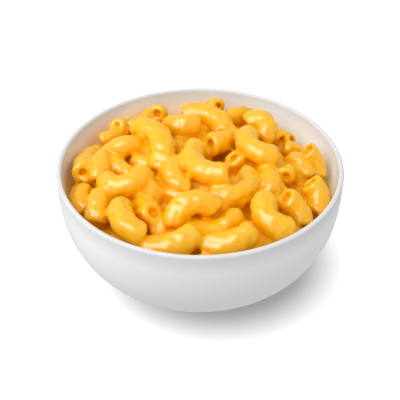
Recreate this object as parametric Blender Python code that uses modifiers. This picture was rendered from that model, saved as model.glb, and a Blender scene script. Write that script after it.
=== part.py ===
"""A small round bowl heaped with elbow macaroni in cheese sauce.

Two solids: the glazed bowl, turned from one profile, and the heap of macaroni, one solid from the
bowl's floor up to the uneven outline of its elbows. The origin is on the table, under the bowl's
centre. Metres, +Z up.
"""
import math
import random

import bmesh
import bpy
from mathutils import Vector

MM = 0.001

# Bowl
RIM_RADIUS = 60 * MM
BOWL_HEIGHT = 53 * MM
FOOT_RADIUS = 29 * MM            # outer edge of the foot ring
FOOT_RING_WIDTH = 3 * MM
FOOT_HEIGHT = 1.8 * MM           # table to where the belly begins
FOOT_RECESS = 1.2 * MM           # hollow under the base, inside the ring
WALL_AT_RIM = 2.4 * MM
WALL_AT_FLOOR = 4.0 * MM
BELLY_EXPONENT = 2.9             # how soon the wall turns upright; 2 is an ellipse
FLARE_EXPONENT = 2.25            # how wide the belly stays towards the foot; 2 is an ellipse

# Heap
GAP = 0.3 * MM                   # clearance between the heap and the bowl
EDGE_LEVEL = 45 * MM             # where the heap meets the wall
CROWN_LEVEL = 58 * MM            # the mound's height at the centre
MOUND_EXPONENT = 2.8             # 2 is a parabola; higher is flatter on top and steeper at the wall
SAUCE_DEPTH = 3.6 * MM           # how far the sauce between the elbows lies under the mound

# Elbows
ELBOW_COUNT = 54
ELBOW_TUBE = 5.1 * MM            # radius of the tube, with its coat of sauce
ELBOW_BEND = 8.4 * MM            # radius of the centreline
ELBOW_ARC = math.radians(155)
ELBOW_LIFT = (-1.6 * MM, 0.6 * MM)     # how far an elbow lies under or over the mound
ELBOW_TILT = math.radians(28)    # most that its flat side leans, either way
SEED = 7

# Facets
LIP_ANGLE = math.radians(4)      # where on the belly's curve the rounded lip ends and the wall begins
ANGLE_STEP = 1e-4                # step for the wall's slope, in radians
ANGLE_TOLERANCE = 1e-6
WELD_DISTANCE = 0.005 * MM
BOWL_SHARP_ANGLE = math.radians(40)
HEAP_SHARP_ANGLE = math.radians(50)
SEGMENTS = 64
WALL_STEPS = 9
RIM_STEPS = 4
TOP_RINGS = 6
ELBOW_STEPS = 7
ELBOW_SIDES_RESOLUTION = 2       # a curve's bevel_resolution; 2 gives 8 sides

GOLDEN_ANGLE = math.pi * (3 - math.sqrt(5))


def clear_scene():
    for item in list(bpy.data.objects):
        bpy.data.objects.remove(item)


def new_collection(name):
    collection = bpy.data.collections.new(name)
    bpy.context.scene.collection.children.link(collection)
    return collection


def glossy_material(name, colour, roughness):
    material = bpy.data.materials.new(name)
    material.use_nodes = True
    shader = material.node_tree.nodes["Principled BSDF"]
    shader.inputs["Base Color"].default_value = (*colour, 1)
    shader.inputs["Roughness"].default_value = roughness
    shader.inputs["Metallic"].default_value = 0
    return material


def belly_point(angle):
    """A point (radius, height) of the outer wall: angle 0 is the rim, and it grows towards the foot."""
    depth = (BOWL_HEIGHT - FOOT_HEIGHT) / math.sin(belly_end()) ** (2 / BELLY_EXPONENT)
    radius = RIM_RADIUS * math.cos(angle) ** (2 / FLARE_EXPONENT)
    height = BOWL_HEIGHT - depth * math.sin(angle) ** (2 / BELLY_EXPONENT)
    return radius, height


def belly_end():
    """The angle at which the belly reaches the foot ring."""
    return math.acos((FOOT_RADIUS / RIM_RADIUS) ** (FLARE_EXPONENT / 2))


def belly_inward(angle):
    """Unit vector from the outer wall into the bowl, in the profile's plane."""
    before = belly_point(angle - ANGLE_STEP)
    after = belly_point(angle + ANGLE_STEP)
    run, rise = after[0] - before[0], after[1] - before[1]
    length = math.hypot(run, rise)
    return rise / length, -run / length


def inner_point(angle, clearance=0.0):
    """A point (radius, height) of the inner wall, moved into the bowl by the clearance."""
    share = angle / belly_end()
    wall = WALL_AT_RIM + (WALL_AT_FLOOR - WALL_AT_RIM) * share + clearance
    radius, height = belly_point(angle)
    inward = belly_inward(angle)
    return radius + inward[0] * wall, height + inward[1] * wall


def wall_angles(first):
    """Angles down the wall in even steps, from the first to the foot."""
    last = belly_end()
    return [first + (last - first) * step / WALL_STEPS for step in range(WALL_STEPS + 1)]


def bowl_profile():
    """The bowl's half section, from the middle of its floor over the rim to the middle of its base."""
    angles = wall_angles(LIP_ANGLE)
    inner = [inner_point(angle) for angle in reversed(angles)]
    outer = [belly_point(angle) for angle in angles]
    floor = (0.0, inner[0][1])

    lip = WALL_AT_RIM / 2
    centre = (RIM_RADIUS - lip, BOWL_HEIGHT - lip)
    rim = []
    for step in range(RIM_STEPS + 1):
        turn = math.pi * (1 - step / RIM_STEPS)
        rim.append((centre[0] + lip * math.cos(turn), centre[1] + lip * math.sin(turn)))

    ring_inside = FOOT_RADIUS - FOOT_RING_WIDTH
    foot = [
        (FOOT_RADIUS, 0.0),
        (ring_inside, 0.0),
        (ring_inside - FOOT_RECESS, FOOT_RECESS),
        (0.0, FOOT_RECESS),
    ]
    return [floor] + inner + rim + outer + foot


def mound_height(radius):
    """The smooth mound that the elbows follow, before their own bumps."""
    edge_radius = RIM_RADIUS - WALL_AT_RIM - GAP
    share = min(radius / edge_radius, 1.0)
    return EDGE_LEVEL + (CROWN_LEVEL - EDGE_LEVEL) * (1 - share ** MOUND_EXPONENT)


def arc_points(place, heading, lean):
    """The bent centreline of an elbow whose crown is at the place, before it is laid on the mound.

    The heading is the way its crown points in plan, and the lean tips its ends up or down.
    """
    outward = Vector((math.cos(heading), math.sin(heading), 0))
    along = Vector((-math.sin(heading), math.cos(heading), 0))
    outward.z = math.sin(lean)
    points = []
    for step in range(ELBOW_STEPS + 1):
        turn = ELBOW_ARC * (step / ELBOW_STEPS - 0.5)
        across = outward * (ELBOW_BEND * (math.cos(turn) - 1))
        points.append(place + across + along * (ELBOW_BEND * math.sin(turn)))
    return points


def kept_inside(points):
    """The points, shifted towards the middle where the elbow would meet the wall."""
    reach = RIM_RADIUS - WALL_AT_RIM - 3 * GAP - ELBOW_TUBE
    farthest = max(points, key=lambda point: math.hypot(point.x, point.y))
    excess = math.hypot(farthest.x, farthest.y) - reach
    if excess <= 0:
        return points
    shift = Vector((farthest.x, farthest.y, 0)).normalized() * excess
    return [point - shift for point in points]


def laid_elbows():
    """The centreline of every elbow. They are spread evenly by the golden angle and follow the mound."""
    chance = random.Random(SEED)
    reach = RIM_RADIUS - WALL_AT_RIM - ELBOW_TUBE
    elbows = []
    for number in range(ELBOW_COUNT):
        radius = reach * math.sqrt((number + 0.5) / ELBOW_COUNT)
        clock = number * GOLDEN_ANGLE
        place = Vector((radius * math.cos(clock), radius * math.sin(clock), 0))
        heading = chance.uniform(0, math.tau)
        lean = chance.uniform(-ELBOW_TILT, ELBOW_TILT)
        lift = chance.uniform(*ELBOW_LIFT)
        points = kept_inside(arc_points(place, heading, lean))
        for point in points:
            point.z += mound_height(math.hypot(point.x, point.y)) - ELBOW_TUBE + lift
        elbows.append(points)
    return elbows


def heap_profile():
    """Half section of what lies under the top elbows, from its crown to the middle of the floor."""
    edge = EDGE_LEVEL - SAUCE_DEPTH
    low, high = 0.0, belly_end()
    while high - low > ANGLE_TOLERANCE:
        middle = (low + high) / 2
        if inner_point(middle, GAP)[1] > edge:
            low = middle
        else:
            high = middle
    wall = [inner_point(angle, GAP) for angle in wall_angles(high)]
    top = []
    for ring in range(TOP_RINGS):
        radius = wall[0][0] * ring / TOP_RINGS
        top.append((radius, mound_height(radius) - SAUCE_DEPTH))
    return top + wall + [(0.0, wall[-1][1])]


def turned(name, profile):
    """An object whose half section, at +X, is turned about Z."""
    mesh = bpy.data.meshes.new(name)
    points = [(radius, 0.0, height) for radius, height in profile]
    mesh.from_pydata(points, [(i, i + 1) for i in range(len(points) - 1)], [])
    item = bpy.data.objects.new(name, mesh)
    screw = item.modifiers.new("turn", "SCREW")
    screw.axis = "Z"
    screw.steps = SEGMENTS
    screw.render_steps = SEGMENTS
    screw.use_merge_vertices = True
    screw.merge_threshold = WELD_DISTANCE
    return item


def shaded_smooth(item, sharp_angle):
    item.data.shade_smooth()
    item.data.set_sharp_from_angle(angle=sharp_angle)


def made_mesh(item, collection):
    """The object with its modifiers applied, so that its vertices can be moved."""
    collection.objects.link(item)
    bpy.context.view_layer.update()
    graph = bpy.context.evaluated_depsgraph_get()
    item.data = bpy.data.meshes.new_from_object(item.evaluated_get(graph))
    item.modifiers.clear()
    return item


def build_bowl(collection):
    bowl = made_mesh(turned("bowl", bowl_profile()), collection)
    shaded_smooth(bowl, BOWL_SHARP_ANGLE)
    bowl.data.materials.append(glossy_material("white_glaze", (0.86, 0.86, 0.85), 0.22))
    return bowl


def bent_tube(name, points):
    """An elbow as a curve object with closed ends."""
    curve = bpy.data.curves.new(name, "CURVE")
    curve.dimensions = "3D"
    curve.bevel_depth = ELBOW_TUBE
    curve.bevel_resolution = ELBOW_SIDES_RESOLUTION
    curve.use_fill_caps = True
    spline = curve.splines.new("POLY")
    spline.points.add(len(points) - 1)
    for spline_point, place in zip(spline.points, points):
        spline_point.co = (*place, 1)
    return bpy.data.objects.new(name, curve)


def as_closed_mesh(item, collection):
    """A mesh object of the curve, with its caps joined on. The curve is removed."""
    collection.objects.link(item)
    bpy.context.view_layer.update()
    graph = bpy.context.evaluated_depsgraph_get()
    mesh = bpy.data.meshes.new_from_object(item.evaluated_get(graph))
    shape = bmesh.new()
    shape.from_mesh(mesh)
    bmesh.ops.remove_doubles(shape, verts=shape.verts, dist=WELD_DISTANCE)
    shape.to_mesh(mesh)
    shape.free()
    made = bpy.data.objects.new(item.name + "_mesh", mesh)
    made.matrix_world = item.matrix_world
    collection.objects.link(made)
    bpy.data.objects.remove(item)
    return made


def build_elbows(collection):
    """All the elbows as helper objects, which the heap then takes in."""
    for number, points in enumerate(laid_elbows()):
        elbow = as_closed_mesh(bent_tube(f"elbow_{number:02d}", points), collection)
        elbow.hide_render = True
        elbow.display_type = "WIRE"


def build_heap(collection, helpers):
    """The mound of sauce and pasta, joined with the elbows that stand out of it."""
    heap = made_mesh(turned("macaroni_heap", heap_profile()), collection)
    build_elbows(helpers)
    union = heap.modifiers.new("elbows", "BOOLEAN")
    union.operation = "UNION"
    union.operand_type = "COLLECTION"
    union.collection = helpers
    union.solver = "EXACT"
    shaded_smooth(heap, HEAP_SHARP_ANGLE)
    heap.data.materials.append(glossy_material("cheese_sauce", (0.93, 0.46, 0.04), 0.3))
    return heap


def main():
    clear_scene()
    collection = new_collection("mac_and_cheese")
    helpers = new_collection("helpers")
    build_bowl(collection)
    build_heap(collection, helpers)


main()
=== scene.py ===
import math

import bmesh
import bpy
import numpy as np
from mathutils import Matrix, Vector


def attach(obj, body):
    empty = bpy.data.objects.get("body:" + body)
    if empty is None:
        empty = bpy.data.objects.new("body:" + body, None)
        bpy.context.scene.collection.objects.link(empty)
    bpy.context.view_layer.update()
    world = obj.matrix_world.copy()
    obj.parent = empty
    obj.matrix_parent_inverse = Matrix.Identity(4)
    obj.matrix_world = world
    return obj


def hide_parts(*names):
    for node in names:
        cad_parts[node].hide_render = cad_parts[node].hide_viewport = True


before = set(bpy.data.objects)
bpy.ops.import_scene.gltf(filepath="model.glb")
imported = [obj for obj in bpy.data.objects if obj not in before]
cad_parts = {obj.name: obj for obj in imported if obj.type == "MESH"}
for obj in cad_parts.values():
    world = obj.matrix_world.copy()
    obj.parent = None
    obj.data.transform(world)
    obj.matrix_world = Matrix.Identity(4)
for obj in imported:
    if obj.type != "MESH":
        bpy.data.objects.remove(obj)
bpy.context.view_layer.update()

# Macaroni and cheese in its round white bowl. The shapes are worked out in millimetres and made in
# metres. The bowl is turned from the same profile as the CAD's. The macaroni is a distance field of
# bent tubes, hollow at their ends, placed one by one where they show and by rule below, which flow
# into each other and into the sauce under them with soft fillets. Its zero surface is one piece.

MM = 0.001

# Bowl, in mm: its sizes are the CAD's and its steps are finer
RIM_RADIUS = 60.0
BOWL_HEIGHT = 53.0
FOOT_RADIUS = 29.0
FOOT_RING_WIDTH = 3.0
FOOT_HEIGHT = 1.8
FOOT_RECESS = 1.2
WALL_AT_RIM = 2.4
WALL_AT_FLOOR = 4.0
BELLY_EXPONENT = 2.9
FLARE_EXPONENT = 2.25
BOWL_SEGMENTS = 160
WALL_STEPS = 40
RIM_STEPS = 10
LIP_ANGLE = math.radians(4)      # where on the belly's curve the rounded lip ends and the wall begins
SLOPE_STEP = 1e-4                # in radians, either side of a point of the belly, to find its slope
MERGE_DISTANCE = 0.00001         # in metres
SHARP_ANGLE = math.radians(40)   # a sharper edge isn't shaded smooth

# Where light and shade are painted on the glaze: painted light on the inner wall, lighter and cooler
# against the heap's warm bounce; a painted golden reflection of the heap low on the left of that wall,
# which fades out upwards and to the right; and painted shade on the lip
INSIDE_ABOVE = 30.0
# The painted golden reflection of the heap: its strength, its spread and the heights where it ends
PAINTED_BOUNCE_STRENGTH = 0.75
PAINTED_BOUNCE_MIDDLE = 0.5                # its share halfway between left and right
PAINTED_BOUNCE_LEAN = 0.012                # what its share gains with each mm to the left
PAINTED_BOUNCE_FULL = 44.0                 # height up to which it is full
PAINTED_BOUNCE_END = 51.0                  # height at which it is gone
LIP_SHADE_START = 51.2                 # height at which the lip's painted shade begins
LIP_SHADE_FULL = 52.0                  # height above which it is full

# Heap: its mound's curve and its gap to the wall, as in the CAD
MOUND_EXPONENT = 2.8
WALL_GAP = 0.3
HEAP_RADIUS = RIM_RADIUS - WALL_AT_RIM - WALL_GAP

# Elbows that show: one end, the middle of the bend and the other end, then the tube's radius and,
# where the opening is wider than common, the hole's share of it. x, y and z are in mm, on the
# tube's centreline. Most rows began as spots picked on the photo, which a scratch script turned into
# mm from a guessed height. They were rounded to half a mm, and most were moved from render to render.
ELBOWS = (
    ((-19.5, 38.5, 52), (-20, 44, 48), (-26, 45, 44), 4.4),
    ((-44, 25, 46), (-39.5, 27.5, 47), (-35.5, 33, 45.5), 3.4),
    ((-37, 31.5, 50.5), (-35.5, 33, 47.5), (-32, 32, 44.5), 3.8),
    ((-28.5, 25.5, 52), (-16, 11, 54), (-17.5, -0.5, 48), 5.4),
    ((-27, 16, 49.5), (-33, 13, 51.5), (-37.5, 14, 47.5), 4.8),
    ((-35.5, 11, 47), (-34, 3, 47.5), (-28.5, -0.5, 47), 3.6),
    ((-38, -6.5, 48.5), (-31, -14.5, 51), (-24, -7, 52), 5.1),
    ((-41, 12, 46.5), (-42, 1, 48.5), (-42, -5.5, 46.5), 4.6),
    ((-49.5, -0.5, 47.5), (-49, 11, 45), (-45, 21.5, 42), 4.6),
    ((-48, -7, 43.5), (-48.5, -15, 43.5), (-47, -20, 41), 4.2),
    ((-41, -14.5, 45.5), (-41, -23.5, 47), (-41.5, -28.5, 44), 4.8),
    ((-31, -25, 48.5), (-29.5, -36, 50), (-22, -41, 47), 5.2),
    ((-18, -10, 50), (-22, -18, 46), (-18, -31.5, 51), 5.0),  # from a search: one end faces the camera
    ((-4.5, 1.5, 49.5), (-11.5, -6, 51), (-4.5, -12.5, 48.5), 4.7),
    ((-0.5, 11.5, 53), (0.5, -7, 54), (11.5, -11, 55), 5.0),
    ((4, 14.5, 52), (10, 19, 50), (16.5, 28, 46), 4.9),
    ((-7.5, 43, 47.5), (4, 40.5, 49.5), (11, 28, 47), 5.3),
    ((-2, 30, 51), (-8.5, 28.5, 52), (-13, 31.5, 49.5), 5.3),
    ((8.5, 45, 52), (6.5, 48.5, 50), (3.5, 50.5, 47), 3.6),
    ((13, 40.5, 47.5), (18, 42.5, 48.5), (22.5, 44, 46), 4.3),
    ((21.5, 34, 49.5), (26, 33.5, 52), (27.5, 24, 47.5), 4.5),
    ((22, 20, 53), (22.5, 7, 54.5), (32, 4.5, 52.5), 4.9),
    ((14, 5.5, 51.5), (16.5, 6.5, 47.5), (20, 8, 43), 4.3),
    ((18, -1.5, 48), (18, -14.5, 48.5), (5, -15, 47.5), 4.7),
    ((27, 5, 43), (29, -5, 47.5), (28.5, -13, 45), 4.9),
    ((31, 27, 45), (34, 28, 46.5), (37, 26, 46.5), 3.8),
    ((41, 26, 46), (38.5, 29, 44.5), (37, 33, 42), 3.2),
    ((45.5, 11, 51.5), (49, 9, 46), (50, 5, 41), 4.5, 0.6),
    ((36, -4.5, 48.5), (37.5, 2, 46), (38.5, 7, 42), 4.0),
    ((39, 10.5, 46.5), (43.5, 5, 47), (46, 1, 44), 4.0),
    ((45, -10.5, 50.5), (48.5, -14, 45.5), (46.5, -21, 41), 4.7, 0.6),
    ((27, -24, 51.5), (26, -33, 50.5), (35.5, -36, 46.5), 5.3),
    ((34, -23, 52.5), (38.5, -24.5, 47.5), (41.5, -30.5, 42.5), 4.8, 0.5),
    ((-21.5, -43, 43), (-11, -44.5, 45.5), (-1.5, -40, 48.5), 5.1),
    ((3, -42, 44), (12, -44, 46.5), (20, -39.5, 49), 5.0),
    ((-10, -34, 46.5), (-2, -27.5, 53.5), (6, -28.5, 49.5), 4.9),
    ((14, -26.5, 45.5), (10.5, -33, 46), (6, -37, 43), 4.4),
    ((37, 21.5, 45), (40.5, 21, 44), (44, 21, 41), 4.0),
    ((22.5, -36, 42), (26.5, -36.5, 42), (30, -33, 41), 4.0),
    ((-50, -2.5, 42.5), (-47.5, -1, 43), (-45, -3, 42.5), 3.6),
    ((-26, 45.5, 43.5), (-29.5, 44, 43), (-34, 43.5, 41.5), 3.2),
    ((-19.5, -34, 43.5), (-16, -33, 44.5), (-12.5, -31, 44.5), 4.0),
    ((1.5, -32, 44), (4.5, -34.5, 44), (5, -37.5, 42), 4.0),
    ((-12, 21.5, 46.5), (-10, 19, 46.5), (-8, 16.5, 46), 4.0),
    ((-27.5, 9, 46), (-24, 6.5, 47.5), (-21, 5, 46.5), 4.0),
    ((-25, 15, 48), (-22, 13.5, 49), (-21, 10, 48), 4.0),
)

# Deep gaps between them: the middle of each and its radius
HOLLOWS = (
    ((9.5, 15.5, 45), 5.0),
    ((7, 8, 46.5), 4.0),
    ((-4, -5.5, 46), 3.0),
    ((21, -25.5, 46.5), 4.5),
    ((21, -19.5, 42), 4.5),
    ((37.5, -5, 44), 4.0),
    ((-20, -36, 44), 3.5),
    ((-14.5, -19, 46), 3.0),
    ((0, -45, 41), 3.5),
    ((-43, -31, 41), 2.5),
    ((35, -21, 43), 3.0),
    ((43, 25, 43), 3.0),
)

# Every elbow's tube
BORE_SHARE = 0.39                # the hole's radius as a share of the tube's
BORE_DEPTH = 2.4
LIP_ROUNDING = 1.7
BORE_ROUNDING = 0.8
RIDGE_COUNT = 11
RIDGE_HEIGHT = 0.04
RIDGE_SHIFT = 9.0                # mm along the tube in which the ridges' wave shifts by a radian
FADE_SHIFT = 3.0                 # the same for the wave that makes them stronger and fainter
FADE_COUNT = 2                   # how many of those fading waves there are round the tube
REACH_STEPS = 12                 # points along the centreline that its box is measured at

# Elbows under them, laid by rule
UNDER_COUNT = 60
UNDER_EDGE = 34.5                # how high their centrelines lie, at the wall and in the middle
UNDER_CROWN = 45.5
UNDER_BEND = 8.4                 # radius of the bend
UNDER_ARC = math.radians(150)
UNDER_TUBE = 4.5
UNDER_LEAN = 0.3                 # the most that a bend rises or falls with each mm outwards
UNDER_GAP = 2.5                  # room left between them and the wall
UNDER_SEED = 11
GOLDEN_ANGLE = math.pi * (3 - math.sqrt(5))

# Sauce
SAUCE_EDGE = 35.0                # how high the pooled sauce lies, at the wall and in the middle
SAUCE_CROWN = 45.0
SAUCE_SWELL = 0.8                # its unevenness
SWELL_LENGTHS = (9, 13, 17, 21, 26, 31)
SWELL_SEED = 3
SAUCE_STEEPNESS = 0.8            # how fast the distance field grows above the sauce
FILLET = 1.7                     # how wide the sauce rounds the creases
HOLLOW_EDGE = 3.0                # how wide the edges of the deep gaps are rounded
UNEVENNESS = 0.24                # of the whole surface
UNEVEN_LENGTHS = (3.6, 4.4, 5.4, 6.6, 8, 10, 12)
UNEVEN_SEED = 5

# Grid of the distance field
STEP = 0.65
GRID_REACH = 58.5                # a little more than the heap's radius
HEAP_FLOOR = 31.0
HEAP_TOP = 62.0

# Fitting the mesh to the field's zero surface
FIT_ROUNDS = 2
FIT_MOVE = 0.6                   # the most that a round moves a point, as a multiple of the slope there
FIT_SLOPE = 0.05                 # the least slope squared to divide by, so that flat spots stay put
TINY = 1e-6                      # keeps a slope of nothing from being divided by

# What the sauce's colour follows: how open a point lies, which sets painted shade in the creases and a
# painted sheen on the open tops, and which elbow it is on
OPENNESS_REACHES = (1.5, 3.0, 5.0)  # how far out from the surface the field is read
TONE_REACH = 0.6                 # how far off a tube's surface a point still takes its tone
TONE_MARGIN = 1.0                # room round a tube's box in which its points are looked for
TONE_SEED = 11


def mound_height(radius, edge, crown):
    """A smooth mound, edge mm high at the bowl's wall and crown mm high in the middle."""
    share = np.minimum(radius / HEAP_RADIUS, 1.0)
    return edge + (crown - edge) * (1 - share ** MOUND_EXPONENT)


class Elbow:
    """A bent tube whose centreline is the arc through three points."""

    def __init__(self, start, middle, end, tube, bore_share=BORE_SHARE):
        start, middle, end = (np.array(point, float) for point in (start, middle, end))
        chord, whole = middle - start, end - start
        normal = np.cross(chord, whole)
        offset = np.cross(normal, chord) * whole.dot(whole) + np.cross(whole, normal) * chord.dot(chord)
        self.centre = start + offset / (2 * normal.dot(normal))
        self.bend = np.linalg.norm(middle - self.centre)
        self.out = (middle - self.centre) / self.bend
        self.normal = normal / np.linalg.norm(normal)
        self.forward = np.cross(self.normal, self.out)
        self.first = self.turn_to(start)
        self.last = self.turn_to(end)
        self.tube = tube
        self.bore_share = bore_share

    def turn_to(self, point):
        """The angle of a point about the arc's centre, from the middle of the bend."""
        arm = point - self.centre
        return math.atan2(arm.dot(self.forward), arm.dot(self.out))

    def reach(self):
        """Lowest and highest corner of the tube's box."""
        turns = np.linspace(self.first, self.last, REACH_STEPS)[:, None]
        line = self.centre + self.bend * (np.cos(turns) * self.out + np.sin(turns) * self.forward)
        return line.min(0) - self.tube, line.max(0) + self.tube

    def coordinates(self, points):
        """Distance from the centreline, past the nearer end (negative inside), and turn about it."""
        arm = points - self.centre
        x, y, z = arm @ self.out, arm @ self.forward, arm @ self.normal
        half = (self.last - self.first) / 2
        turn = np.arctan2(y, x) - (self.first + self.last) / 2
        turn = (turn + math.pi) % (2 * math.pi) - math.pi
        within = np.abs(turn) <= half
        end = np.where(turn < 0, self.first, self.last)
        side = np.where(turn < 0, -1.0, 1.0)
        beyond = side * (y * np.cos(end) - x * np.sin(end))
        radial = np.where(within, np.hypot(x, y), x * np.cos(end) + y * np.sin(end)) - self.bend
        past = np.where(within, (np.abs(turn) - half) * self.bend, beyond)
        return np.hypot(radial, z), past, np.arctan2(z, radial)

    def distance(self, points):
        """Distance to the sauced tube: a bent rod with round lips, hollow for a short way at each end."""
        away, past, turn = self.coordinates(points)
        ridges = RIDGE_HEIGHT * np.cos(RIDGE_COUNT * turn + past / RIDGE_SHIFT)
        ridges = ridges * (1 + np.sin(past / FADE_SHIFT + FADE_COUNT * turn))
        rod = rounded_corner(away - self.tube - ridges, past, LIP_ROUNDING)
        bore = rounded_corner(away - self.tube * self.bore_share, -past - BORE_DEPTH, BORE_ROUNDING)
        return smooth_max(rod, -bore, BORE_ROUNDING)


def rounded_corner(a, b, rounding):
    """Distance to where both a and b are negative, with the corner between them rounded."""
    a, b = a + rounding, b + rounding
    return np.hypot(np.maximum(a, 0), np.maximum(b, 0)) + np.minimum(np.maximum(a, b), 0) - rounding


def smooth_min(a, b, width):
    """The smaller of two distances, rounded off where they are within width of each other."""
    share = np.maximum(width - np.abs(a - b), 0) / width
    return np.minimum(a, b) - share * share * width / 4


def smooth_max(a, b, width):
    return -smooth_min(-a, -b, width)


def under_elbows():
    """Elbows of the lower layer, spread by the golden angle and turned at random."""
    chance = np.random.default_rng(UNDER_SEED)
    reach = RIM_RADIUS - WALL_AT_RIM - UNDER_TUBE - UNDER_GAP
    elbows = []
    for number in range(UNDER_COUNT):
        radius = reach * math.sqrt((number + 0.5) / UNDER_COUNT)
        clock = number * GOLDEN_ANGLE
        heading = chance.uniform(0, 2 * math.pi)
        lean = chance.uniform(-UNDER_LEAN, UNDER_LEAN)
        place = np.array((radius * math.cos(clock), radius * math.sin(clock), 0))
        outward = np.array((math.cos(heading), math.sin(heading), lean))
        along = np.array((-math.sin(heading), math.cos(heading), 0))
        points = []
        for turn in (-UNDER_ARC / 2, 0, UNDER_ARC / 2):
            points.append(place + UNDER_BEND * (outward * (math.cos(turn) - 1) + along * math.sin(turn)))
        farthest = max(math.hypot(point[0], point[1]) for point in points)
        if farthest > reach:
            inward = place * (farthest - reach) / radius
            points = [point - inward for point in points]
        for point in points:
            point[2] += mound_height(math.hypot(point[0], point[1]), UNDER_EDGE, UNDER_CROWN)
        elbows.append(Elbow(*points, UNDER_TUBE))
    return elbows


def waves(points, lengths, seed):
    """A soft uneven field, mostly between -1 and 1: waves of several lengths in random directions."""
    chance = np.random.default_rng(seed)
    total = np.zeros(points.shape[:-1])
    for length in lengths:
        direction = chance.normal(size=3)
        direction *= 2 * math.pi / length / np.linalg.norm(direction)
        total += np.sin(points @ direction + chance.uniform(0, 2 * math.pi))
    return total / math.sqrt(len(lengths))


def lay(elbow, field, axes, points):
    """Join one elbow to the field, in the part of the grid that it reaches."""
    low, high = elbow.reach()
    part = tuple(
        slice(*np.searchsorted(axis, (low[i] - FILLET, high[i] + FILLET)))
        for i, axis in enumerate(axes)
    )
    field[part] = smooth_min(field[part], elbow.distance(points[part]), FILLET)


def heap_field(shown, under):
    """The grid's axes and the distance field of the whole heap."""
    across = np.arange(-GRID_REACH, GRID_REACH + STEP, STEP)
    up = np.arange(HEAP_FLOOR, HEAP_TOP, STEP)
    axes = (across, across, up)
    flat = np.stack(np.meshgrid(across, across, indexing="ij"), -1)
    radius = np.hypot(flat[..., 0], flat[..., 1])
    level = mound_height(radius, SAUCE_EDGE, SAUCE_CROWN)
    level += SAUCE_SWELL * waves(np.dstack([flat, np.zeros_like(radius)]), SWELL_LENGTHS, SWELL_SEED)
    field = (up[None, None, :] - level[:, :, None]) * SAUCE_STEEPNESS
    points = np.stack(np.meshgrid(*axes, indexing="ij"), -1)
    for elbow in under:
        lay(elbow, field, axes, points)
    for middle, size in HOLLOWS:
        field = smooth_max(field, size - np.linalg.norm(points - middle, axis=-1), HOLLOW_EDGE)
    for elbow in shown:
        lay(elbow, field, axes, points)
    field += UNEVENNESS * waves(points, UNEVEN_LENGTHS, UNEVEN_SEED)
    wall = radius - HEAP_RADIUS
    return axes, np.maximum(field, wall[:, :, None])


def zero_surface(field, axes):
    """Vertices and quads of the field's zero surface, with one vertex in each cell that it crosses."""
    inside = field < 0
    shape = tuple(size - 1 for size in field.shape)
    count = np.zeros(shape, np.int8)
    for i in (0, 1):
        for j in (0, 1):
            for k in (0, 1):
                count += inside[i:i + shape[0], j:j + shape[1], k:k + shape[2]]
    crossed = (count > 0) & (count < 8)
    cells = np.argwhere(crossed)
    number = np.full(shape, -1)
    number[crossed] = np.arange(len(cells))

    total = np.zeros((len(cells), 3))
    cuts = np.zeros(len(cells))
    for axis in range(3):
        for a in (0, 1):
            for b in (0, 1):
                start = np.zeros(3, int)
                start[(axis + 1) % 3], start[(axis + 2) % 3] = a, b
                end = start.copy()
                end[axis] = 1
                near, far = field[tuple((cells + start).T)], field[tuple((cells + end).T)]
                cut = (near < 0) != (far < 0)
                point = np.tile(start.astype(float), (len(cells), 1))
                point[cut, axis] = near[cut] / (near[cut] - far[cut])
                total[cut] += point[cut]
                cuts += cut
    vertices = cells + total / cuts[:, None]

    quads = []
    for axis in range(3):
        u, v = (axis + 1) % 3, (axis + 2) % 3
        low = np.moveaxis(inside, axis, 0)[:-1]
        high = np.moveaxis(inside, axis, 0)[1:]
        at = np.argwhere(np.moveaxis(low != high, 0, axis))
        at = at[(at[:, u] > 0) & (at[:, v] > 0) & (at[:, u] < shape[u]) & (at[:, v] < shape[v])]
        back_u, back_v = np.zeros(3, int), np.zeros(3, int)
        back_u[u], back_v[v] = 1, 1
        ring = [number[tuple(c.T)] for c in (at, at - back_u, at - back_u - back_v, at - back_v)]
        quad = np.stack(ring, 1)
        outward = inside[tuple(at.T)]
        quad[~outward] = quad[~outward][:, ::-1]
        quads.append(quad)
    return vertices, np.concatenate(quads)


def sampled(grid, places):
    """The grid's values between its points, at places given in grid steps."""
    low = np.clip(np.floor(places).astype(int), 0, np.array(grid.shape) - 2)
    share = places - low
    total = 0
    for i in (0, 1):
        for j in (0, 1):
            for k in (0, 1):
                weight = np.ones(len(places))
                for axis, corner in enumerate((i, j, k)):
                    weight = weight * (share[:, axis] if corner else 1 - share[:, axis])
                total = total + weight * grid[tuple((low + (i, j, k)).T)]
    return total


def fitted(field, slopes, places):
    """The places moved along the field's slope onto its zero surface."""
    for _ in range(FIT_ROUNDS):
        slope = np.stack([sampled(part, places) for part in slopes], 1)
        steep = np.maximum((slope ** 2).sum(1), FIT_SLOPE * STEP ** 2)
        move = sampled(field, places) / steep
        places = places - np.clip(move, -FIT_MOVE, FIT_MOVE)[:, None] * slope
    return places


def openness_at(field, slopes, places):
    """0 deep in a crease and 1 on an open top: how fast the field grows away from the surface."""
    slope = np.stack([sampled(part, places) for part in slopes], 1)
    normal = slope / np.maximum(np.linalg.norm(slope, axis=1), TINY)[:, None]
    openness = 0
    for away in OPENNESS_REACHES:
        growth = sampled(field, places + normal * (away / STEP)) / away
        openness = openness + np.clip(growth, 0, 1) / len(OPENNESS_REACHES)
    return openness


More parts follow.
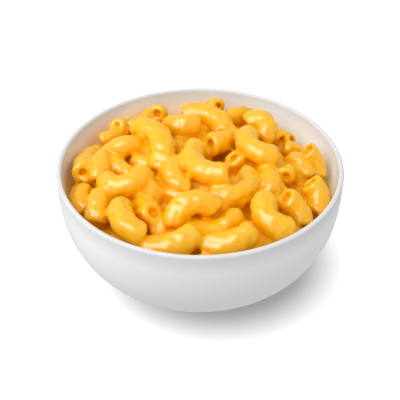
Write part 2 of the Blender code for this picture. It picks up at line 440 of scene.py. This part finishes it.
def tones_at(points, elbows):
    """A random tone for each elbow, given to the points nearest to it. Sauce between them has 0."""
    tone = np.zeros(len(points))
    nearest = np.full(len(points), TONE_REACH)
    chance = np.random.default_rng(TONE_SEED)
    for elbow in elbows:
        low, high = elbow.reach()
        near = np.where(((points > low - TONE_MARGIN) & (points < high + TONE_MARGIN)).all(1))[0]
        away = elbow.distance(points[near])
        shade = chance.uniform(0, 1)
        closer = away < nearest[near]
        near = near[closer]
        nearest[near] = away[closer]
        tone[near] = shade
    return tone


def store(mesh, name, values):
    """Keep one number for each point, for a material to read."""
    attribute = mesh.attributes.new(name, "FLOAT", "POINT")
    attribute.data.foreach_set("value", np.asarray(values, np.float32))


def close_underside(mesh):
    """Fill the hole that the grid's floor leaves, and turn all faces outwards."""
    shape = bmesh.new()
    shape.from_mesh(mesh)
    edges = [edge for edge in shape.edges if edge.is_boundary]
    bmesh.ops.holes_fill(shape, edges=edges, sides=0)
    bmesh.ops.recalc_face_normals(shape, faces=shape.faces)
    shape.to_mesh(mesh)
    shape.free()


def build_heap():
    """The macaroni and its sauce as one closed piece."""
    shown = [Elbow(*row) for row in ELBOWS]
    under = under_elbows()
    axes, field = heap_field(shown, under)
    places, quads = zero_surface(field, axes)
    slopes = np.gradient(field)
    places = fitted(field, slopes, places)
    points = np.array([axis[0] for axis in axes]) + places * STEP

    mesh = bpy.data.meshes.new("macaroni")
    mesh.from_pydata(points * MM, [], quads.tolist())
    store(mesh, "openness", openness_at(field, slopes, places))
    store(mesh, "tone", tones_at(points, shown + under))
    close_underside(mesh)
    mesh.shade_smooth()
    heap = bpy.data.objects.new("macaroni", mesh)
    bpy.context.scene.collection.objects.link(heap)
    return heap


def belly_end():
    """The angle at which the belly reaches the foot ring."""
    return math.acos((FOOT_RADIUS / RIM_RADIUS) ** (FLARE_EXPONENT / 2))


def belly_point(angle):
    """A point (radius, height) of the outer wall: angle 0 is the rim, and it grows towards the foot."""
    depth = (BOWL_HEIGHT - FOOT_HEIGHT) / math.sin(belly_end()) ** (2 / BELLY_EXPONENT)
    radius = RIM_RADIUS * math.cos(angle) ** (2 / FLARE_EXPONENT)
    return radius, BOWL_HEIGHT - depth * math.sin(angle) ** (2 / BELLY_EXPONENT)


def inner_point(angle):
    """The point of the inner wall across from an outer point."""
    before, after = belly_point(angle - SLOPE_STEP), belly_point(angle + SLOPE_STEP)
    run, rise = after[0] - before[0], after[1] - before[1]
    wall = WALL_AT_RIM + (WALL_AT_FLOOR - WALL_AT_RIM) * angle / belly_end()
    radius, height = belly_point(angle)
    length = math.hypot(run, rise)
    return radius + wall * rise / length, height - wall * run / length


def bowl_profile():
    """The bowl's half section, from the middle of its floor over the rim to the middle of its base."""
    span = belly_end() - LIP_ANGLE
    angles = [LIP_ANGLE + span * step / WALL_STEPS for step in range(WALL_STEPS + 1)]
    inner = [inner_point(angle) for angle in reversed(angles)]
    outer = [belly_point(angle) for angle in angles]
    lip = WALL_AT_RIM / 2
    rim = []
    for step in range(RIM_STEPS + 1):
        turn = math.pi * (1 - step / RIM_STEPS)
        rim.append((RIM_RADIUS - lip + lip * math.cos(turn), BOWL_HEIGHT - lip + lip * math.sin(turn)))
    ring_inside = FOOT_RADIUS - FOOT_RING_WIDTH
    foot = [
        (FOOT_RADIUS, 0.0),
        (ring_inside, 0.0),
        (ring_inside - FOOT_RECESS, FOOT_RECESS),
        (0.0, FOOT_RECESS),
    ]
    return [(0.0, inner[0][1])] + inner + rim + outer + foot


def clamped(value):
    return min(max(value, 0.0), 1.0)


def glaze_painted_light(mesh):
    """For each point of the bowl: whether it is inside, for the inner wall's painted light, and its
    shares of the painted golden reflection and the lip's painted shade.
    """
    inside, painted_bounce, rim = [], [], []
    for vertex in mesh.vertices:
        x, _, z = vertex.co / MM
        within = vertex.normal.xy.dot(vertex.co.xy) < 0 and z > INSIDE_ABOVE
        left = clamped(PAINTED_BOUNCE_MIDDLE - PAINTED_BOUNCE_LEAN * x)
        low = clamped((PAINTED_BOUNCE_END - z) / (PAINTED_BOUNCE_END - PAINTED_BOUNCE_FULL))
        inside.append(1.0 if within else 0.0)
        # painted golden reflection of the heap, strongest low and to the left
        painted_bounce.append(PAINTED_BOUNCE_STRENGTH * left * low if within else 0.0)
        # share of the lip's painted shade
        rim.append(clamped((z - LIP_SHADE_START) / (LIP_SHADE_FULL - LIP_SHADE_START)))
    return {"inside": inside, "painted_bounce": painted_bounce, "rim": rim}


def build_bowl():
    """The bowl's profile turned about the middle."""
    profile = bpy.data.meshes.new("glazed_bowl")
    points = [(radius * MM, 0.0, height * MM) for radius, height in bowl_profile()]
    profile.from_pydata(points, [(i, i + 1) for i in range(len(points) - 1)], [])
    bowl = bpy.data.objects.new("glazed_bowl", profile)
    bpy.context.scene.collection.objects.link(bowl)
    screw = bowl.modifiers.new("turn", "SCREW")
    screw.steps = BOWL_SEGMENTS
    screw.render_steps = BOWL_SEGMENTS
    screw.use_merge_vertices = True
    screw.merge_threshold = MERGE_DISTANCE
    bpy.context.view_layer.update()
    graph = bpy.context.evaluated_depsgraph_get()
    bowl.data = bpy.data.meshes.new_from_object(bowl.evaluated_get(graph))
    bowl.modifiers.clear()
    for name, values in glaze_painted_light(bowl.data).items():
        store(bowl.data, name, values)
    bowl.data.shade_smooth()
    bowl.data.set_sharp_from_angle(angle=SHARP_ANGLE)
    return bowl


# Materials
class Nodes:
    """A material's node tree, with short calls to add nodes and link them."""

    def __init__(self, name):
        self.material = bpy.data.materials.new(name)
        self.material.use_nodes = True
        self.tree = self.material.node_tree
        self.shader = self.tree.nodes["Principled BSDF"]

    def add(self, kind, settings=None, **inputs):
        """A node. An input is a number, a colour, or another node's output."""
        node = self.tree.nodes.new(kind)
        for name, value in (settings or {}).items():
            setattr(node, name, value)
        for name, value in inputs.items():
            self.put(node, name.replace("_", " "), value)
        return node

    def put(self, node, name, value):
        """Set an input of a node, or link it."""
        socket = node.inputs[name]
        if isinstance(value, bpy.types.NodeSocket):
            self.tree.links.new(value, socket)
        else:
            socket.default_value = value

    def noise(self, vector, scale, detail=2.0):
        return self.add("ShaderNodeTexNoise", Vector=vector, Scale=scale, Detail=detail).outputs["Fac"]

    def attribute(self, name):
        return self.add("ShaderNodeAttribute", {"attribute_name": name}).outputs["Fac"]

    def map(self, value, from_low, from_high, to_low=0, to_high=1):
        """The value's place between the two from numbers, as a number between the two to numbers."""
        ends = {"From_Min": from_low, "From_Max": from_high, "To_Min": to_low, "To_Max": to_high}
        return self.add("ShaderNodeMapRange", Value=value, **ends).outputs["Result"]

    def blend(self, share, low, high):
        """A mix of two colours. The colour Mix node's sockets share names, so they go by number."""
        node = self.add("ShaderNodeMix", {"data_type": "RGBA"})
        self.put(node, 0, share)
        for index, value in ((6, low), (7, high)):
            self.put(node, index, value)
        return node.outputs[2]


def colour(red, green, blue):
    return (red, green, blue, 1.0)


# Cheese sauce: its colours, from the deepest holes to the open tops, and where openness blends them.
# Holes and creases are darker and redder, partly deeper sauce where it pools and partly painted shade;
# the open tops are paler, a painted sheen
# darker, redder colours for the holes and creases: partly deeper sauce where it pools, partly painted
# shade
POOLED_HOLE_SHADE = colour(0.82, 0.30, 0.0)
POOLED_CREASE_SHADE = colour(0.87, 0.41, 0.0)
GOLD = colour(0.93, 0.435, 0.0)
LIGHT_GOLD = colour(0.945, 0.48, 0.001)
PALE_GOLD = colour(0.97, 0.54, 0.004)
# painted sheen: the open tops paler
TOP_PAINTED_SHEEN = colour(0.96, 0.50, 0.02)
HOLE_TO_CREASE = (0.05, 0.3)
CREASE_TO_GOLD = (0.25, 0.8)
GOLD_TO_SHEEN = (0.86, 1.0)
COAT_GROWS = (0.45, 0.85)        # openness over which the glossy coat grows
COAT_MOST = 0.6
TONE_MOST = 0.45                 # how much of the pale gold the palest elbow takes
NOISE_MIDDLE = (0.3, 0.7)        # the part of a noise's range that most of it falls in
SAUCE_ROUGHNESS = (0.34, 0.44)

# Glaze
WHITE = colour(0.72, 0.72, 0.72)
LIGHTER_WHITE = colour(0.74, 0.74, 0.735)
# painted light: the inner wall lighter and cooler than the outside, against the heap's warm bounce
INNER_WALL_PAINTED_LIGHT = colour(0.80, 0.92, 1.0)
# painted golden reflection of the heap on the inner wall
PAINTED_BOUNCE_GOLD = colour(1.0, 0.80, 0.40)
# painted shade on the lip: darker than the rest of the glaze
LIP_PAINTED_SHADE = colour(0.52, 0.52, 0.52)
GLAZE_ROUGHNESS = (0.2, 0.28)

# Floor
FLOOR_WHITE = colour(0.64, 0.64, 0.64)
FLOOR_LIGHTER = colour(0.65, 0.65, 0.65)

# How fine each noise is: about this many waves to the metre
PATCH_SCALE = 110
SHEEN_SCALE = 240
GRAIN_SCALE = 420
GLAZE_CLOUD_SCALE = 35
GLAZE_SHEEN_SCALE = 90
FLOOR_CLOUD_SCALE = 3


def macaroni_material():
    """Cheese sauce: golden, darker and redder in the creases and holes, partly where sauce pools and
    partly as painted shade, without its coat there, glossy on the tops and paler there as a painted
    sheen.
    """
    nodes = Nodes("cheese_sauce")
    place = nodes.add("ShaderNodeTexCoord").outputs["Object"]
    openness = nodes.attribute("openness")
    patches = nodes.map(nodes.noise(place, PATCH_SCALE, 3), *NOISE_MIDDLE)
    sauce = nodes.blend(patches, GOLD, LIGHT_GOLD)
    toned = nodes.blend(nodes.map(nodes.attribute("tone"), 0, 1, 0, TONE_MOST), sauce, PALE_GOLD)
    # painted shade in the creases and holes, partly deeper sauce where it pools
    crease_shaded = nodes.blend(nodes.map(openness, *CREASE_TO_GOLD), POOLED_CREASE_SHADE, toned)
    hole_shaded = nodes.blend(nodes.map(openness, *HOLE_TO_CREASE), POOLED_HOLE_SHADE, crease_shaded)
    # painted sheen on the open tops
    sheen_painted = nodes.blend(nodes.map(openness, *GOLD_TO_SHEEN), hole_shaded, TOP_PAINTED_SHEEN)
    sheen = nodes.map(nodes.noise(place, SHEEN_SCALE, 2), *NOISE_MIDDLE, *SAUCE_ROUGHNESS)
    nodes.put(nodes.shader, "Base Color", sheen_painted)
    nodes.put(nodes.shader, "Subsurface Weight", 0.45)
    nodes.put(nodes.shader, "Subsurface Radius", (1.0, 0.5, 0.05))
    nodes.put(nodes.shader, "Subsurface Scale", 0.003)
    nodes.put(nodes.shader, "Roughness", sheen)
    nodes.put(nodes.shader, "Specular IOR Level", 0.12)
    nodes.put(nodes.shader, "Coat Weight", nodes.map(openness, *COAT_GROWS, 0, COAT_MOST))
    nodes.put(nodes.shader, "Coat Roughness", 0.16)
    nodes.put(nodes.shader, "Coat IOR", 1.5)
    grain = nodes.noise(place, GRAIN_SCALE, 2)
    bump = nodes.add("ShaderNodeBump", Height=grain, Strength=0.5, Distance=0.0006)
    nodes.put(nodes.shader, "Normal", bump.outputs["Normal"])
    return nodes.material


def glaze_material():
    """White glaze, with painted light and shade: a lighter, cooler inner wall, a painted golden
    reflection of the heap on it and painted shade on the lip.
    """
    nodes = Nodes("white_glaze")
    place = nodes.add("ShaderNodeTexCoord").outputs["Object"]
    glaze = nodes.blend(nodes.noise(place, GLAZE_CLOUD_SCALE, 2), WHITE, LIGHTER_WHITE)
    # painted light on the inner wall, lighter and cooler against the heap's warm bounce
    inner_wall_lit = nodes.blend(nodes.attribute("inside"), glaze, INNER_WALL_PAINTED_LIGHT)
    # painted golden reflection of the heap, low on the left of the inner wall
    bounce_painted = nodes.blend(nodes.attribute("painted_bounce"), inner_wall_lit, PAINTED_BOUNCE_GOLD)
    # painted shade on the lip
    lip_shaded = nodes.blend(nodes.attribute("rim"), bounce_painted, LIP_PAINTED_SHADE)
    sheen = nodes.map(nodes.noise(place, GLAZE_SHEEN_SCALE, 2), 0, 1, *GLAZE_ROUGHNESS)
    nodes.put(nodes.shader, "Base Color", lip_shaded)
    nodes.put(nodes.shader, "Roughness", sheen)
    return nodes.material


def floor_material():
    """A matt pale floor with a very faint cloudiness."""
    nodes = Nodes("pale_floor")
    place = nodes.add("ShaderNodeTexCoord").outputs["Object"]
    cloudy = nodes.blend(nodes.noise(place, FLOOR_CLOUD_SCALE, 2), FLOOR_WHITE, FLOOR_LIGHTER)
    nodes.put(nodes.shader, "Base Color", cloudy)
    nodes.put(nodes.shader, "Roughness", 0.9)
    nodes.put(nodes.shader, "Specular IOR Level", 0.1)
    return nodes.material


# Stage: places in metres, the lens and the sensor in mm
VIEW_ELEVATION = math.radians(38.3)
VIEW_DISTANCE = 0.400
AIM_HEIGHT = 0.0328
LENS = 83.4
SENSOR_WIDTH = 36
CLIP_NEAR = 0.01
CLIP_FAR = 10
FLOOR_RADIUS = 3
SKY_STRENGTH = 8.0
SKY_WIDTH = math.radians(90)
SKY_TILT = math.radians(-22)
WORLD_STRENGTH = 0.68
WARM = (1.0, 0.84, 0.6)
PINK = (1.0, 0.87, 0.97)


def build_camera():
    """The camera in front of the bowl, looking down at its middle."""
    data = bpy.data.cameras.new("camera")
    data.lens = LENS
    data.sensor_width = SENSOR_WIDTH
    data.clip_start = CLIP_NEAR
    data.clip_end = CLIP_FAR
    camera = bpy.data.objects.new("camera", data)
    bpy.context.scene.collection.objects.link(camera)
    back = Vector((0, -math.cos(VIEW_ELEVATION), math.sin(VIEW_ELEVATION)))
    camera.location = Vector((0, 0, AIM_HEIGHT)) + back * VIEW_DISTANCE
    camera.rotation_euler = (-back).to_track_quat("-Z", "Y").to_euler()
    bpy.context.scene.camera = camera


def build_light(name, place, size, power, lit, tint=(1, 1, 1), highlights_only=False):
    """A round lamp facing the bowl, for what lit holds. It gives only diffuse light or only highlights.

    place and size are in metres and power is in watts."""
    data = bpy.data.lights.new(name, "AREA")
    data.shape = "DISK"
    data.size = size
    data.energy = power
    data.color = tint
    light = bpy.data.objects.new(name, data)
    light.location = place
    light.rotation_euler = (-Vector(place)).to_track_quat("-Z", "Y").to_euler()
    light.light_linking.receiver_collection = lit
    light.visible_diffuse = not highlights_only
    light.visible_glossy = highlights_only
    bpy.context.scene.collection.objects.link(light)


def build_floor():
    """A pale floor under a wide soft sun of its own: white but for the bowl's soft shadow."""
    bpy.ops.mesh.primitive_circle_add(vertices=64, radius=FLOOR_RADIUS, fill_type="NGON")
    floor = bpy.context.object
    floor.name = "floor"
    floor.data.materials.append(floor_material())
    floor.visible_diffuse = False
    floor.visible_glossy = False
    lit = bpy.data.collections.new("lit_by_sky")
    lit.objects.link(floor)
    data = bpy.data.lights.new("sky", "SUN")
    data.angle = SKY_WIDTH
    data.energy = SKY_STRENGTH
    sky = bpy.data.objects.new("sky", data)
    sky.rotation_euler = (0, SKY_TILT, 0)
    sky.light_linking.receiver_collection = lit
    bpy.context.scene.collection.objects.link(sky)


def build_world():
    """Even white light from all round."""
    world = bpy.data.worlds.new("studio")
    world.use_nodes = True
    background = world.node_tree.nodes["Background"]
    background.inputs["Color"].default_value = colour(1, 1, 1)
    background.inputs["Strength"].default_value = WORLD_STRENGTH
    bpy.context.scene.world = world


def build_lamps(both, food, china):
    """Soft lamps for both pieces, for the food alone and for the bowl alone."""
    build_light("key", (-0.40, -0.50, 0.77), 0.8, 2.3, both)
    build_light("side", (-0.95, 0.1, 0.40), 0.9, 4.2, both)
    build_light("top", (0.1, -0.2, 0.95), 0.9, 1.8, food)
    build_light("front", (0.2, -0.95, 0.25), 1.0, 1.3, food, tint=WARM)
    build_light("bowl_front", (-0.2, -0.5, 0.84), 0.8, 1.6, china)
    build_light("bowl_left", (-0.55, -0.2, 0.8), 0.8, 1.9, china)
    build_light("bowl_right", (0.55, -0.2, 0.8), 0.8, 2.2, china)
    build_light("bowl_top", (-0.3, -0.2, 0.94), 0.8, 2.4, china)
    build_light("softbox", (-0.51, -0.37, 0.775), 1.05, 25.0, food, tint=PINK, highlights_only=True)


def place_bowl():
    bowl = build_bowl()
    bowl.data.materials.append(glaze_material())
    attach(bowl, "root")
    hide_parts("bowl")
    return bowl


def place_heap():
    heap = build_heap()
    heap.data.materials.append(macaroni_material())
    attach(heap, "root")
    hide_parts("macaroni_heap")
    return heap


def main():
    bpy.context.scene.view_settings.view_transform = "Standard"
    build_camera()
    build_floor()
    build_world()
    both, food, china = (bpy.data.collections.new(name) for name in ("both", "food", "china"))
    build_lamps(both, food, china)
    bowl = place_bowl()
    heap = place_heap()
    for group, piece in ((both, bowl), (both, heap), (food, heap), (china, bowl)):
        group.objects.link(piece)


main()
